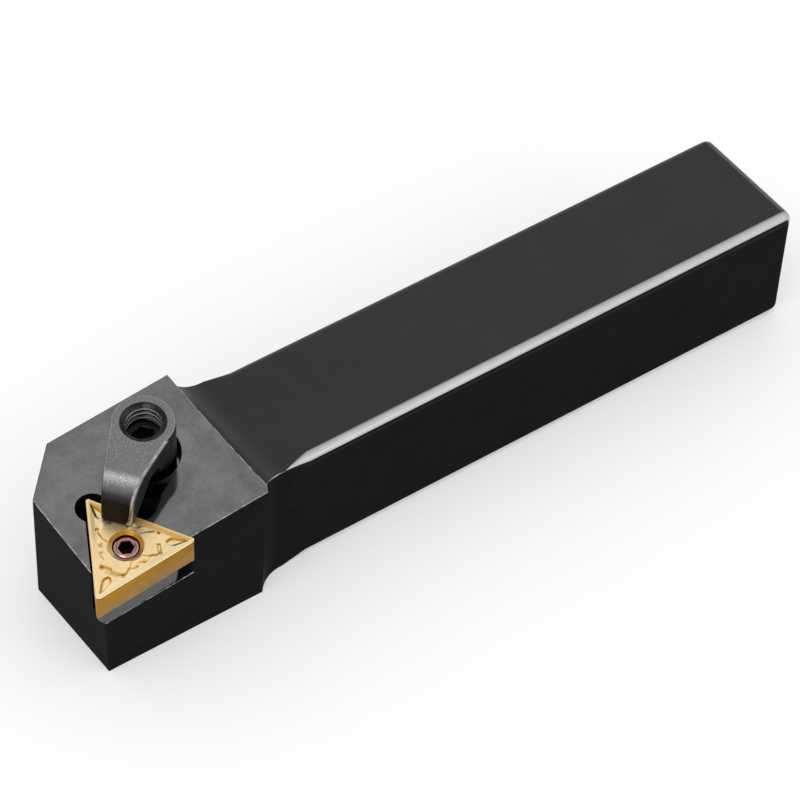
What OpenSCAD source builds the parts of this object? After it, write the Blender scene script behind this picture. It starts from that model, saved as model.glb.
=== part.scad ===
// External turning tool: a square shank, a wider tilted head, and a triangular
// insert held on a shim by a pin and a screwed clamp.
// The origin is the middle of the shank's bottom face. +X runs to the shank's
// rear end, the cutting side faces -Y, and +Z is up.

/* [Shank] */
// Width of the square shank
shank_w = 20; // [18:0.5:25]
// Height of the shank from its base to its top
shank_h = 20; // [18:0.5:25]
// Length from the insert's nose to the rear end of the shank
tool_l = 125; // [100:1:150]
// Radius of the shank's four long edges
shank_edge_r = 1.5; // [0.5:0.1:2.5]
// Length over which those edges run out to sharp beside the head
runout_l = 4.4; // [1:0.2:8]
// Bevel round the rear end of the shank
end_bevel = 0.8; // [0.3:0.1:1.5]

/* [Head] */
// Length from the insert's nose to where the head's blend meets the shank
head_l = 34; // [32:0.5:40]
// Radius of the hollow blends from the head down to the shank
blend_r = 6; // [5:0.5:8]
// How far the head stands out from the shank's cutting side, at its base
side_out = 2.4; // [1:0.1:3]
// Outward lean of the head's cutting side, in degrees
side_lean = 3.2; // [2:0.1:4]
// Distance from the insert's nose back to the head's front, at its base
front_back = 3.6; // [3:0.1:5]
// Forward lean of the head's front, in degrees
front_lean = 5; // [3:0.25:6]
// Distance from the nose back to the start of the 45 degree corner cut
corner_back = 8.3; // [7:0.1:10]
// How far the head's top lies under the insert's top
head_drop = 0.6; // [0.2:0.1:1]

/* [Seat] */
// Distance from the shank's far side to the insert's nose
nose_offset = 25; // [23:0.5:27]
// Downward tilt of the seat towards the front, in degrees
tilt_front = 6; // [4:0.5:7]
// Downward tilt of the seat towards the cutting side, in degrees
tilt_side = 6; // [4:0.5:7]
// Angle by which the cutting edge falls away from the shank's axis, in degrees
edge_angle = 1; // [0:0.5:3]
// Gap between the insert and the pocket's two walls
wall_gap = 0.2; // [0.1:0.05:0.4]
// Radius of the relief hole in the pocket's closed corner
relief_r = 2.25; // [1.5:0.05:2.5]
// Distance of the relief hole's centre inside the insert's sharp corner
relief_in = 1.55; // [1:0.05:2]

/* [Insert] */
// Diameter of the circle inscribed in the insert
insert_ic = 9.525; // [9:0.025:10]
// Thickness of the insert
insert_t = 4.76; // [4:0.02:5.5]
// Radius of the insert's three noses
nose_r = 0.4; // [0.2:0.1:0.8]
// Diameter of the hole through the insert
insert_hole_d = 3.81; // [3.75:0.01:4.2]
// Diameter of the shallow dish round the hole, on both faces
dish_d = 5; // [4.6:0.1:5.6]
// Depth of that dish
dish_depth = 0.25; // [0.1:0.05:0.4]
// Width of the flat land behind each cutting edge
land_w = 0.3; // [0.15:0.05:0.5]
// Width of the chip groove behind the land
groove_w = 1.1; // [0.6:0.1:1.3]
// Depth of the chip groove
groove_depth = 0.2; // [0.1:0.05:0.4]

/* [Shim] */
// Thickness of the shim
shim_t = 4.2; // [3.2:0.1:5]
// How far the shim's sides lie inside the insert's, before it is shifted
shim_inset = 0.5; // [0.4:0.05:0.8]
// Shift of the shim along the pocket's long wall, away from the cutting side
shim_shift = 0.45; // [0:0.05:0.5]
// Radius of the shim's three corners
shim_corner_r = 1.2; // [0.8:0.1:1.6]
// Gap all round the shim pin in the shim
shim_pin_gap = 0.1; // [0.05:0.01:0.2]

/* [Shim pin] */
// Diameter of the pin's head in the insert's hole
pin_head_d = 3.6; // [3.3:0.05:3.7]
// How far the pin's top lies under the insert's top
pin_drop = 0.3; // [0.1:0.05:0.8]
// Bevel round the pin's top
pin_bevel = 0.35; // [0.1:0.05:0.5]
// Diameter of the pin's seating cone where it is widest
pin_cone_d = 6.2; // [5.6:0.1:6.6]
// Diameter of the pin's threaded end
pin_thread_d = 5; // [4:0.5:5]
// Length of the threaded end in the holder
pin_thread_l = 7; // [5:0.5:8]
// Width across the flats of the pin's hex socket
pin_hex_w = 2.05; // [1.5:0.05:2.2]
// Depth of the pin's hex socket
pin_hex_depth = 2.2; // [1.5:0.1:3]

/* [Clamp] */
// Height of the clamp's top over the insert's top
clamp_h = 6.8; // [6:0.1:8]
// Radius of the clamp's boss
boss_r = 4.4; // [4.2:0.1:5]
// Length from the boss axis to the end of the nose
arm_l = 12.4; // [11.5:0.1:13]
// Width of the nose at its end
nose_w = 4.2; // [3:0.1:5]
// How far the middle of the nose lies to the left of the arm's centre line
nose_shift = 0.15; // [0:0.05:0.3]
// Direction of the arm across the shank's axis, in degrees
arm_angle = 38.5; // [34:0.5:42]
// Distance along the arm from the nose's end to the insert hole's axis
nose_stop = 3; // [2.7:0.1:3.6]
// Distance of the arm's centre line beside the insert hole's axis
arm_side = 2.2; // [1.8:0.1:2.4]
// Radius of the arm's knee
knee_r = 4; // [3:0.1:5]
// Slope of the nose below the knee, in degrees
nose_slope = 78; // [70:1:82]
// Radius of the arch under the arm
arch_r = 1.9; // [1.2:0.1:2.2]
// Height of the arch's centre over the insert's top
arch_h = 2.3; // [2:0.1:3]
// Slope of the arm's underside towards the nose, in degrees
heel_slope = 43; // [40:1:50]
// Depth of the clamp's recess in the head
recess_depth = 2.5; // [1:0.1:4]
// Gap round the boss in the recess
recess_gap = 0.6; // [0.3:0.1:1]
// Gap under the boss in the recess
recess_floor_gap = 0.3; // [0.2:0.1:0.6]
// Depth of the bevel at the mouth of the clamp's tapped hole
mouth_bevel = 0.35; // [0.1:0.05:0.6]

/* [Clamp screw] */
// Diameter of the clamp screw
screw_d = 6; // [5:0.5:6]
// Length of the clamp screw
screw_l = 19.5; // [16:0.5:20]
// Depth of the screw's top under the clamp's top
screw_drop = 3.4; // [2:0.1:4]
// Bevel at both ends of the screw
screw_bevel = 0.6; // [0.3:0.1:0.9]
// Width across the flats of the screw's hex socket
screw_hex_w = 3; // [2.5:0.1:3.2]
// Depth of the screw's hex socket
screw_hex_depth = 3; // [2:0.1:4]
// Gap all round a screw in its tapped hole
thread_gap = 0.05; // [0.02:0.01:0.08]
// Depth of the tapped holes past the ends of their screws
drill_past = 1.5; // [0.5:0.1:2]

/* [Hidden] */
$fn = 96;

// Margin by which a cut passes the faces that it opens
over = 1;
// Size of a block that stands for everything on one side of a plane
far = 60;
// Thickness of the thin plates that a rounded end is drawn between
leaf = 0.01;
// Angle of a drilled hole's pointed bottom
drill_point = 118;

// Places along the shank
shank_l = tool_l - head_l;
rear_x = shank_l / 2;
blend_x = -shank_l / 2;
nose_x = blend_x - head_l;
near_y = -shank_w / 2;
far_y = shank_w / 2;
nose_y = far_y - nose_offset;

// The insert's outline, and its theoretical sharp corner ahead of the nose
insert_r = insert_ic / 2;
insert_edge = insert_ic * sqrt(3);
corner_angle = 30 + edge_angle;
corner_x = nose_x - nose_r * (2 * cos(corner_angle) - 1);
corner_y = nose_y - nose_r * (2 * sin(corner_angle) - 1);

// Depths below the insert's top, square to the seat
seat_depth = insert_t + shim_t;
recess_floor = head_drop + recess_depth;
boss_bottom = recess_floor - recess_floor_gap;
screw_top = clamp_h - screw_drop;
screw_end = screw_l - screw_top;
pin_end = seat_depth + pin_thread_l;

// Radii of the threads and of the holes that they turn in
screw_r = screw_d / 2 - thread_gap;
pin_r = pin_thread_d / 2 - thread_gap;
// Length of the pin's seating cone at 45 degrees
pin_cone_l = pin_cone_d / 2 - pin_r;
// Centre height of the knee, and where its round starts along the arm
knee_h = clamp_h - knee_r;
knee_u = arm_l - knee_r * sin(nose_slope) - nose_foot_h() / tan(nose_slope);
// How far inside the boss the arch and the arm's sides start
arch_tuck = 0.3;
side_tuck = 0.06;
// Centre of the arch along the arm, and radius at which the arm's sides start
arch_u = boss_r + arch_r - arch_tuck;
arm_start_r = boss_r - side_tuck;
// Half widths of the nose to the right and left of the arm's centre line
nose_right = nose_w / 2 - nose_shift;
nose_left = nose_w / 2 + nose_shift;

// Height over the insert's top at which the knee turns into the straight nose
function nose_foot_h() = knee_h + knee_r * cos(nose_slope);

// Direction from the boss axis to the point where a side of the arm starts
function start_angle(half_w) =
    atan(half_w / arm_l) + acos(arm_start_r / norm([arm_l, half_w]));

// Moves a piece to the seat: the sharp corner at the origin, the insert's top at z = 0
module on_seat() {
    translate([corner_x, corner_y, shank_h])
        rotate([atan(tan(tilt_side) * cos(tilt_front)), -tilt_front, 0])
            children();
}

// Moves a piece to the insert: the hole's axis at the origin, the cutting edge along x
module on_insert() {
    on_seat()
        rotate([0, 0, edge_angle])
            translate([insert_edge / 2, insert_r, 0])
                children();
}

// Moves a piece to the clamp: the boss axis at the origin, x along the arm
module on_clamp() {
    on_insert()
        rotate([0, 0, 180 + arm_angle - edge_angle])
            translate([-nose_stop - arm_l, -arm_side, 0])
                children();
}

// A triangle with round corners, given the radius of its inscribed circle
module round_triangle(inner_r, corner_r) {
    reach = 2 * (inner_r - corner_r);
    turns = [210, 330, 90];
    for (a = turns)
        translate(reach * [cos(a), sin(a)])
            circle(r = corner_r);
    polygon([for (a = turns, side = [-60, 60])
        reach * [cos(a), sin(a)] + corner_r * [cos(a + side), sin(a + side)]]);
}

// A square with round corners
module round_square(w, h, r) {
    square([w - 2 * r, h], center = true);
    square([w, h - 2 * r], center = true);
    for (x = [-1, 1], y = [-1, 1])
        translate([x * (w / 2 - r), y * (h / 2 - r)])
            circle(r = r);
}

// A hole with a drilled point, from z = 0 down
module drilled(r, depth) {
    point_l = r / tan(drill_point / 2);
    translate([0, 0, -depth])
        cylinder(r = r, h = depth);
    translate([0, 0, -depth - point_l])
        cylinder(r1 = 0, r2 = r, h = point_l);
}

// A hex socket from z = 0 down
module hex_socket(w, depth) {
    translate([0, 0, -depth])
        cylinder(r = w / 2 / cos(30), h = depth + over, $fn = 6);
}

// A slice of the shank at a place along it, with its edges rounded by r
module shank_slice(x, w, h, r, length = leaf) {
    translate([x, 0, shank_h / 2])
        rotate([90, 0, 90])
            linear_extrude(length)
                round_square(w, h, r);
}

// The shank, sharp beside the head, round edged along its length, bevelled behind
module shank() {
    round_x = blend_x + runout_l;
    bevel_x = rear_x - end_bevel;
    shank_slice(round_x, shank_w, shank_h, shank_edge_r, bevel_x - round_x + leaf);
    hull() {
        shank_slice(blend_x - over, shank_w, shank_h, leaf, over);
        shank_slice(round_x, shank_w, shank_h, shank_edge_r, $fn = 32);
    }
    hull() {
        shank_slice(bevel_x, shank_w, shank_h, shank_edge_r, $fn = 32);
        shank_slice(rear_x - leaf, shank_w - 2 * end_bevel, shank_h - 2 * end_bevel,
                    shank_edge_r - end_bevel / 2, $fn = 32);
    }
}

// The head from above: the corner cut in front and the hollow blend on the cutting side
module head_plan() {
    front_x = nose_x - over;
    cut = nose_x + corner_back - front_x;
    difference() {
        polygon([
            [front_x, near_y - far],
            [blend_x, near_y - far],
            [blend_x, far_y],
            [front_x + cut, far_y],
            [front_x, far_y - cut],
        ]);
        translate([blend_x, near_y - blend_r])
            circle(r = blend_r);
        translate([blend_x - blend_r, near_y - blend_r - far])
            square([blend_r + over, far]);
    }
}

// The head from the side, with the hollow blend down to the shank's top
module head_side() {
    difference() {
        translate([nose_x - over, 0])
            square([head_l + over, shank_h + blend_r]);
        translate([blend_x, shank_h + blend_r])
            circle(r = blend_r);
    }
}

// Everything outside the head's leaning front, leaning side and tilted top
module head_trim() {
    translate([nose_x + front_back, -far, 0])
        rotate([0, -front_lean, 0])
            translate([-far, 0, -far / 2])
                cube([far, 2 * far, 2 * far]);
    translate([nose_x - far, near_y - side_out, 0])
        rotate([side_lean, 0, 0])
            translate([0, -far, -far / 2])
                cube([3 * far, far, 2 * far]);
    on_seat()
        translate([-far, -far, -head_drop])
            cube([3 * far, 3 * far, far]);
}

// The head's solid block before its pocket and holes are cut
module head_block() {
    difference() {
        intersection() {
            linear_extrude(shank_h + blend_r)
                head_plan();
            translate([0, far, 0])
                rotate([90, 0, 0])
                    linear_extrude(2 * far)
                        head_side();
        }
        head_trim();
    }
}

// The pocket for insert and shim: two walls, open to the front and the cutting side
module pocket() {
    wall = insert_r + wall_gap;
    down = insert_r + far;
    half = (wall + down / 2) / cos(30);
    translate([0, 0, -seat_depth]) {
        linear_extrude(seat_depth + over)
            polygon([[0, 2 * wall], [-half, -down], [half, -down]]);
        translate([0, 2 * insert_r - relief_in, 0])
            cylinder(r = relief_r, h = seat_depth + over);
    }
}

// The tapped hole for the shim pin, under the seat
module pin_hole() {
    translate([0, 0, -seat_depth])
        drilled(pin_thread_d / 2, pin_thread_l + drill_past);
}

// The clamp's recess and the tapped hole under it
module clamp_hole() {
    translate([0, 0, -recess_floor])
        cylinder(r = boss_r + recess_gap, h = recess_depth + over);
    drilled(screw_d / 2, screw_end + drill_past);
}

// The one piece tool holder
module holder() {
    color([0.12, 0.12, 0.13])
        difference() {
            union() {
                shank();
                head_block();
            }
            on_insert() {
                pocket();
                pin_hole();
            }
            on_clamp()
                clamp_hole();
        }
}

// The shim under the insert, with a coned hole for the pin
module shim() {
    cone_r = pin_cone_d / 2 + shim_pin_gap;
    hole_r = pin_r + shim_pin_gap;
    color([0.32, 0.33, 0.35])
        on_insert()
            difference() {
                translate([0, 0, -seat_depth])
                    linear_extrude(shim_t)
                        translate(shim_shift * [cos(120), sin(120)])
                            round_triangle(insert_r - shim_inset, shim_corner_r);
                translate([0, 0, -seat_depth - over])
                    cylinder(r = hole_r, h = shim_t + 2 * over);
                translate([0, 0, -insert_t - pin_cone_l])
                    cylinder(r1 = hole_r, r2 = cone_r, h = pin_cone_l);
            }
}

// The shim pin: a head for the insert's hole, a seating cone and a threaded end
module shim_pin() {
    head_r = pin_head_d / 2;
    cone_top = -insert_t - shim_pin_gap;
    color([0.62, 0.42, 0.36])
        on_insert()
            difference() {
                rotate_extrude()
                    polygon([
                        [0, -pin_drop],
                        [head_r - pin_bevel, -pin_drop],
                        [head_r, -pin_drop - pin_bevel],
                        [head_r, cone_top],
                        [pin_cone_d / 2, cone_top],
                        [pin_r, cone_top - pin_cone_l],
                        [pin_r, -pin_end],
                        [0, -pin_end],
                    ]);
                translate([0, 0, -pin_drop])
                    hex_socket(pin_hex_w, pin_hex_depth);
            }
}

// The ring shaped chip groove, as seen from above
module groove_plan() {
    difference() {
        round_triangle(insert_r - land_w, nose_r);
        round_triangle(insert_r - land_w - groove_w, nose_r);
    }
}

// What is cut from one face of the insert: the chip groove and the dish round the hole
module face_cuts() {
    translate([0, 0, -groove_depth])
        linear_extrude(groove_depth + over)
            groove_plan();
    translate([0, 0, -dish_depth])
        cylinder(r1 = insert_hole_d / 2, r2 = dish_d / 2, h = dish_depth);
}

// The triangular insert, the same on both faces
module insert() {
    color([0.86, 0.66, 0.30])
        on_insert()
            difference() {
                translate([0, 0, -insert_t])
                    linear_extrude(insert_t)
                        round_triangle(insert_r, nose_r);
                translate([0, 0, -insert_t - over])
                    cylinder(d = insert_hole_d, h = insert_t + 2 * over);
                face_cuts();
                translate([0, 0, -insert_t])
                    mirror([0, 0, 1])
                        face_cuts();
            }
}

// The arm from above: its sides leave the boss almost smoothly and narrow to the nose
module arm_plan() {
    right = start_angle(nose_right);
    left = start_angle(nose_left);
    polygon([
        arm_start_r * [cos(right), sin(right)],
        arm_start_r * [cos(left), -sin(left)],
        [arm_l, -nose_left],
        [arm_l, nose_right],
    ]);
}

// The arm from the side, x along it: top, knee, nose, heel slope and arch
module arm_side() {
    touch = [arch_u + arch_r * sin(heel_slope), arch_h + arch_r * cos(heel_slope)];
    heel_u = touch[0] + touch[1] / tan(heel_slope);
    difference() {
        union() {
            translate([0, arch_h])
                square([knee_u, clamp_h - arch_h]);
            intersection() {
                translate([knee_u, knee_h])
                    circle(r = knee_r);
                translate([knee_u - over, knee_h])
                    square(knee_r + over);
            }
            polygon([
                [arch_u, 0],
                [arm_l, 0],
                [knee_u + knee_r * sin(nose_slope), nose_foot_h()],
                [knee_u, knee_h + over],
                [arch_u, knee_h + over],
            ]);
        }
        translate([arch_u, arch_h])
            circle(r = arch_r);
        polygon([
            [arch_u - arch_r, -over],
            [arch_u - arch_r, arch_h],
            [arch_u, arch_h],
            touch,
            [heel_u, 0],
            [heel_u, -over],
        ]);
    }
}

// The clamp, with its tapped hole bevelled at the mouth
module clamp() {
    mouth_r = screw_d / 2 + mouth_bevel;
    color([0.20, 0.20, 0.21])
        on_clamp()
            difference() {
                union() {
                    translate([0, 0, -boss_bottom])
                        cylinder(r = boss_r, h = boss_bottom + clamp_h);
                    intersection() {
                        linear_extrude(clamp_h)
                            arm_plan();
                        translate([0, boss_r + over, 0])
                            rotate([90, 0, 0])
                                linear_extrude(2 * (boss_r + over))
                                    arm_side();
                    }
                }
                translate([0, 0, -boss_bottom - over])
                    cylinder(d = screw_d, h = boss_bottom + clamp_h + 2 * over);
                translate([0, 0, clamp_h - mouth_bevel])
                    cylinder(r1 = screw_d / 2, r2 = mouth_r, h = mouth_bevel);
            }
}

// The double ended clamp screw, with a hex socket in its top
module clamp_screw() {
    color([0.16, 0.16, 0.17])
        on_clamp()
            difference() {
                rotate_extrude()
                    polygon([
                        [0, screw_top],
                        [screw_r - screw_bevel, screw_top],
                        [screw_r, screw_top - screw_bevel],
                        [screw_r, screw_bevel - screw_end],
                        [screw_r - screw_bevel, -screw_end],
                        [0, -screw_end],
                    ]);
                translate([0, 0, screw_top])
                    hex_socket(screw_hex_w, screw_hex_depth);
            }
}

holder();
shim();
shim_pin();
insert();
clamp();
clamp_screw();
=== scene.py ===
"""Looks of an external turning tool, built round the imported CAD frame.

Every new piece is modelled in a local frame of its own with sizes in millimetres, and
is then laid in the row frame, which is in metres. The seat frame has its origin at the
insert's sharp corner, with the insert's top at height 0.
"""

import logging
import math
from contextlib import contextmanager
from dataclasses import dataclass, field
from enum import Enum
from functools import cache
from typing import Callable, Iterator, Sequence

import bmesh
import bpy
from mathutils import Matrix, Vector


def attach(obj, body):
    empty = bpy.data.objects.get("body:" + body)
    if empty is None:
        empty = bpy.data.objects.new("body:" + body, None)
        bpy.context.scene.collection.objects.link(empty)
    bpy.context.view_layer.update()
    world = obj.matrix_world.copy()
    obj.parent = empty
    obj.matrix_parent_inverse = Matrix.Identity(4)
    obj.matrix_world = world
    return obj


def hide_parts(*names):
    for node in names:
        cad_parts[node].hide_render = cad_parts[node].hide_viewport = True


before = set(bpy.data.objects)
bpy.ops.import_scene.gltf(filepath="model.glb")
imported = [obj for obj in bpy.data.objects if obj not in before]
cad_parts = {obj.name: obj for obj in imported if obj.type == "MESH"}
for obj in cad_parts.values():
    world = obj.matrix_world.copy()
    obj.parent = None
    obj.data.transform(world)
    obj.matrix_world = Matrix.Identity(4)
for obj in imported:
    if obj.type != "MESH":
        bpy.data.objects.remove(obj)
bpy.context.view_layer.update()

LOG = logging.getLogger("turning_tool")
MM = 0.001
MERGE = 1e-3  # millimetres on the bench within which two points are one
FACING = 0.9  # least share of a normal along an axis for a face that looks that way
Point = tuple[float, float, float]
Colour = tuple[float, float, float]
Pair = tuple[float, float]
Test = Callable[[Vector, Vector], bool]


# Places of the tilted seat, the insert and the clamp


@dataclass(frozen=True)
class Places:
    """Local frames of the pieces in millimetres, from the same sizes as the CAD source."""

    corner: Point = (-79.78573, -15.01203, 20.0)
    tilt: float = 6.0
    edge_angle: float = 1.0
    insert_r: float = 4.7625
    arm_angle: float = 38.5
    arm_l: float = 12.4
    nose_stop: float = 3.0
    arm_side: float = 2.2

    def seat(self) -> Matrix:
        """Returns the frame of the seat."""
        front = math.radians(self.tilt)
        across = math.atan(math.tan(front) * math.cos(front))
        turn = Matrix.Rotation(-front, 4, "Y") @ Matrix.Rotation(across, 4, "X")
        return Matrix.Translation(self.corner) @ turn

    def up(self) -> Vector:
        """Returns the direction that is up for the seat."""
        return self.seat().to_3x3() @ Vector((0, 0, 1))

    def insert(self) -> Matrix:
        """Returns the frame on the insert hole's axis, its x along the cutting edge."""
        shift = Vector((self.insert_r * math.sqrt(3), self.insert_r, 0))
        turn = Matrix.Rotation(math.radians(self.edge_angle), 4, "Z")
        return self.seat() @ turn @ Matrix.Translation(shift)

    def clamp(self) -> Matrix:
        """Returns the frame on the clamp boss's axis, its x along the arm."""
        angle = math.radians(180 + self.arm_angle - self.edge_angle)
        shift = Vector((-self.nose_stop - self.arm_l, -self.arm_side, 0))
        turn = Matrix.Rotation(angle, 4, "Z")
        return self.insert() @ turn @ Matrix.Translation(shift)


PLACES = Places()


# Modelling with Blender's own operators


class Kind(Enum):
    """What a selection is made of."""

    VERT = "VERT"
    EDGE = "EDGE"
    FACE = "FACE"


class Work:
    """One mesh on the bench, in millimetres and in the piece's own frame.

    Tests get the centre of a vertex, an edge or a face, and its normal, or the direction
    in which the edge runs.
    """

    def __init__(self, name: str, obj: bpy.types.Object) -> None:
        """Takes a new object onto the bench and names it."""
        self.obj = obj
        obj.name = name
        obj.data.name = name

    @staticmethod
    def clear() -> None:
        """Goes to object mode, with nothing selected."""
        if bpy.context.mode != "OBJECT":
            bpy.ops.object.mode_set(mode="OBJECT")
        bpy.ops.object.select_all(action="DESELECT")

    def hold(self) -> None:
        """Selects this piece alone and makes it active, in object mode."""
        self.clear()
        bpy.context.view_layer.objects.active = self.obj
        self.obj.select_set(True)

    @classmethod
    def cylinder(cls, name: str, r: float, low: float, high: float, sides: int = 96,
                 top: float | None = None) -> "Work":
        """Adds a cylinder or a cone on the local axis.

        Args:
            name: Name of the piece.
            r: Radius at the lower end.
            low: Height of the lower end.
            high: Height of the upper end.
            sides: Number of sides.
            top: Radius at the upper end, or None for the same radius.

        Returns:
            The new piece.
        """
        cls.clear()
        bpy.ops.mesh.primitive_cone_add(
            vertices=sides, radius1=r, radius2=r if top is None else top, depth=high - low,
            location=(0, 0, (high + low) / 2),
        )
        bpy.ops.object.transform_apply()
        return cls(name, bpy.context.object)

    @classmethod
    def chain(cls, name: str, points: Sequence[Point]) -> "Work":
        """Draws a closed line through points by extruding one vertex along them.

        Args:
            name: Name of the piece.
            points: The points. The last is joined to the first.

        Returns:
            The new piece, which has edges and no face.
        """
        cls.clear()
        bpy.ops.mesh.primitive_plane_add(size=1, location=(0, 0, 0))
        work = cls(name, bpy.context.object)
        with work.edit():
            bpy.ops.mesh.merge(type="CENTER")
            bpy.ops.transform.translate(value=points[0])
            for a, b in zip(points, points[1:]):
                step = Vector(b) - Vector(a)
                bpy.ops.mesh.extrude_vertices_move(TRANSFORM_OT_translate={"value": step})
            ends = (Vector(points[0]), Vector(points[-1]))
            work.pick(Kind.VERT, lambda c, n: any((c - e).length < MERGE for e in ends))
            bpy.ops.mesh.edge_face_add()
        return work

    @classmethod
    def prism(cls, name: str, outline: Sequence[Point], rise: Point) -> "Work":
        """Fills a closed outline and extrudes it.

        Args:
            name: Name of the piece.
            outline: Points of the outline.
            rise: The extrusion, as a vector.

        Returns:
            The new piece.
        """
        work = cls.chain(name, outline)
        with work.edit():
            work.pick(Kind.VERT)
            bpy.ops.mesh.edge_face_add()
            work.extrude(rise)
            work.pick(Kind.FACE)
            bpy.ops.mesh.normals_make_consistent(inside=False)
        return work

    @staticmethod
    def extrude(step: Sequence[float]) -> None:
        """Extrudes the selected faces by a vector, in edit mode."""
        bpy.ops.mesh.extrude_region_move(TRANSFORM_OT_translate={"value": step})

    @contextmanager
    def edit(self) -> Iterator[None]:
        """Opens edit mode on this piece alone, with everything in it selected."""
        self.hold()
        bpy.ops.object.mode_set(mode="EDIT")
        bpy.ops.mesh.select_mode(type="VERT")
        bpy.ops.mesh.select_all(action="SELECT")
        yield
        bpy.ops.object.mode_set(mode="OBJECT")

    def pick(self, kind: Kind, test: Test = lambda c, n: True) -> None:
        """Selects the vertices, edges or faces that pass a test, in edit mode."""
        bpy.ops.mesh.select_all(action="DESELECT")
        bpy.ops.mesh.select_mode(type=kind.value)
        mesh = bmesh.from_edit_mesh(self.obj.data)
        if kind is Kind.VERT:
            places = [(v, v.co, v.normal) for v in mesh.verts]
        elif kind is Kind.EDGE:
            ends = [(e, e.verts[0].co, e.verts[1].co) for e in mesh.edges]
            places = [(e, (a + b) / 2, (b - a).normalized()) for e, a, b in ends]
        else:
            places = [(f, f.calc_center_median(), f.normal) for f in mesh.faces]
        for item, centre, direction in places:
            if test(centre, direction):
                item.select_set(True)
        mesh.select_flush_mode()
        bmesh.update_edit_mesh(self.obj.data)

    def modify(self, kind: str, **values: object) -> None:
        """Adds a modifier of a kind with the given settings, and applies it."""
        self.hold()
        modifier = self.obj.modifiers.new(kind.title(), kind)
        for name, value in values.items():
            setattr(modifier, name, value)
        bpy.ops.object.modifier_apply(modifier=modifier.name)

    def combine(self, other: "Work", operation: str = "DIFFERENCE") -> None:
        """Joins this piece with another, cuts it by the other, or keeps what they share.

        Args:
            other: The other piece, which is used up.
            operation: UNION, DIFFERENCE or INTERSECT.
        """
        self.modify("BOOLEAN", object=other.obj, operation=operation, solver="EXACT")
        bpy.data.objects.remove(other.obj)
        self.tidy()

    def move(self, where: Matrix) -> "Work":
        """Moves the piece by a matrix, on the bench, and returns it."""
        self.hold()
        self.obj.matrix_world = where
        bpy.ops.object.transform_apply()
        return self

    def join(self, other: "Work") -> None:
        """Takes another piece into this mesh and merges what coincides."""
        self.hold()
        other.obj.select_set(True)
        bpy.ops.object.join()
        self.tidy()

    def trim(self, point: Sequence[float], normal: Sequence[float]) -> None:
        """Cuts off what lies beyond a plane, on its normal's side, and closes the cut."""
        with self.edit():
            bpy.ops.mesh.bisect(plane_co=point, plane_no=normal, use_fill=True, clear_outer=True)

    def bevel_rim(self, test: Test, width: float, segments: int) -> None:
        """Bevels the outline of the faces that pass a test.

        Args:
            test: Chooses the faces.
            width: Width of the bevel.
            segments: Number of its strips.
        """
        with self.edit():
            self.pick(Kind.FACE, test)
            bpy.ops.mesh.region_to_loop()
            bpy.ops.mesh.bevel(offset=width, segments=segments, profile=0.5)

    def merge_flats(self, angle: float) -> None:
        """Makes one face of neighbours that differ by less than an angle in degrees."""
        with self.edit():
            bpy.ops.mesh.dissolve_limited(angle_limit=math.radians(angle))

    def paint(self, slot: int, test: Test) -> None:
        """Gives the faces that pass a test the material slot of an index."""
        for face in self.obj.data.polygons:
            if test(face.center, face.normal):
                face.material_index = slot

    def tidy(self) -> None:
        """Merges doubles and turns all faces outwards."""
        with self.edit():
            bpy.ops.mesh.remove_doubles(threshold=MERGE)
            bpy.ops.mesh.dissolve_degenerate(threshold=MERGE)
            bpy.ops.mesh.normals_make_consistent(inside=False)

    def place(self, where: Matrix, smooth: float = 30) -> bpy.types.Object:
        """Lays the piece in the row frame and shades it.

        Args:
            where: The piece's local frame.
            smooth: Edges flatter than this angle, in degrees, are shaded smoothly.

        Returns:
            The finished object, which sits at the origin.
        """
        self.move(Matrix.Scale(MM, 4) @ where)
        bpy.ops.object.shade_smooth_by_angle(angle=math.radians(smooth))
        self.modify("WEIGHTED_NORMAL", mode="FACE_AREA", weight=100, keep_sharp=True)
        return self.obj


def arc(centre: Sequence[float], r: float, start: float, end: float, steps: int) -> list[Point]:
    """Lists points along an arc in the local XY plane.

    Args:
        centre: The arc's centre.
        r: Radius.
        start: Start angle in degrees.
        end: End angle in degrees.
        steps: Number of steps.

    Returns:
        The points, both ends included.
    """
    angles = [math.radians(start + (end - start) * i / steps) for i in range(steps + 1)]
    return [(centre[0] + r * math.cos(a), centre[1] + r * math.sin(a), 0.0) for a in angles]


def ramp(value: float, low: float, high: float) -> float:
    """Returns 0 below low and 1 above high, with a smooth step between them."""
    t = min(1.0, max(0.0, (value - low) / (high - low)))
    return t * t * (3 - 2 * t)


# Node groups and finishes


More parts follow.
